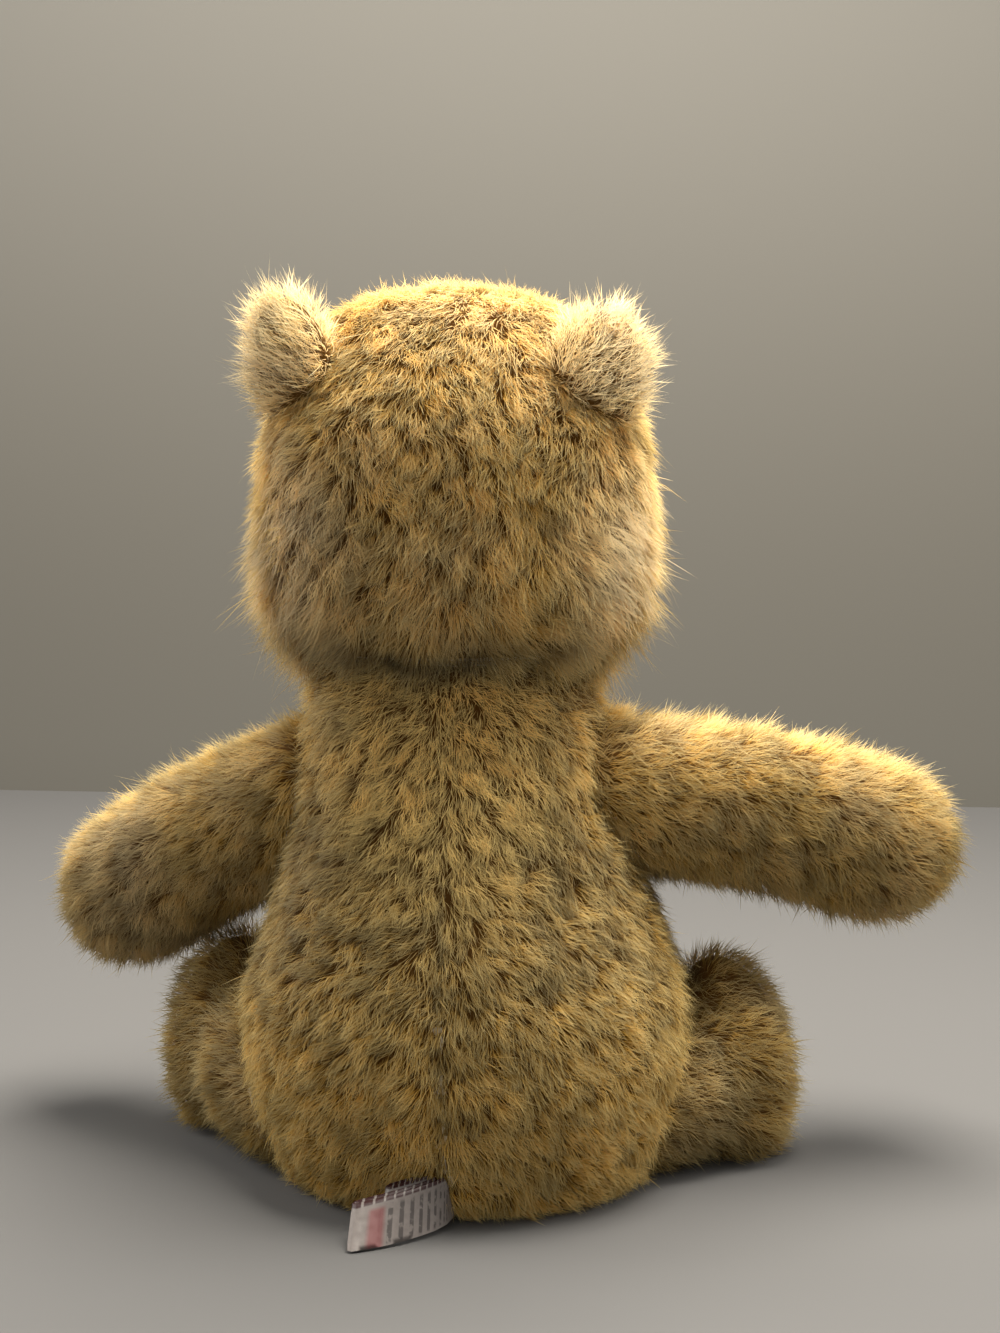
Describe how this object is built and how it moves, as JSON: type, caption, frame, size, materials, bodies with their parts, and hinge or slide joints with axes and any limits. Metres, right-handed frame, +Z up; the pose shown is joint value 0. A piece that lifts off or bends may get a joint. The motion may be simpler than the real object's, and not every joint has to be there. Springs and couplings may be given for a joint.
{
  "type": "plush teddy bear",
  "caption": "Seated, worn plush teddy bear with sewn-in arms and legs, a gusseted head, button eyes and folded ribbon labels in its back seam.",
  "frame": {"origin": "middle of the flat seat under the torso, on the floor", "axes": "+Z up; the bear faces -Y; its own left side is +X"},
  "size_m": [0.3183, 0.1817, 0.294],
  "materials": {
    "plush": "worn golden tan pile, matted in places, darker at its roots",
    "ear_plush": "thin, curled, greyed tan pile",
    "muzzle_plush": "short pale tan pile",
    "sole": "short pale tan pile, worn flat",
    "stuffing": "white fibre",
    "thread": "dark brown embroidery thread",
    "ribbon": "white satin ribbon, grey and pink printed fields",
    "eye": "polished dark brown",
    "washer": "plain white, inside the head"
  },
  "bodies": {
    "root": {"arm_left_inner": "plush", "arm_left_outer": "plush", "arm_left_stuffing": "stuffing", "arm_right_inner": "plush", "arm_right_outer": "plush", "arm_right_stuffing": "stuffing", "care_label": "ribbon", "ear_left_back": "ear_plush", "ear_left_front": "ear_plush", "ear_right_back": "ear_plush", "ear_right_front": "ear_plush", "eye_left": "eye", "eye_right": "eye", "eye_washer_left": "washer", "eye_washer_right": "washer", "head_gusset": "plush", "head_side_left": "plush", "head_side_right": "plush", "head_stuffing": "stuffing", "leg_left_inner": "plush", "leg_left_outer": "plush", "leg_left_sole": "sole", "leg_left_stuffing": "stuffing", "leg_right_inner": "plush", "leg_right_outer": "plush", "leg_right_sole": "sole", "leg_right_stuffing": "stuffing", "mouth_stitching": "thread", "muzzle": "muzzle_plush", "nose": "thread", "size_label": "ribbon", "torso_back_left": "plush", "torso_back_right": "plush", "torso_belly": "plush", "torso_stuffing": "stuffing"}
  },
  "joints": []
}
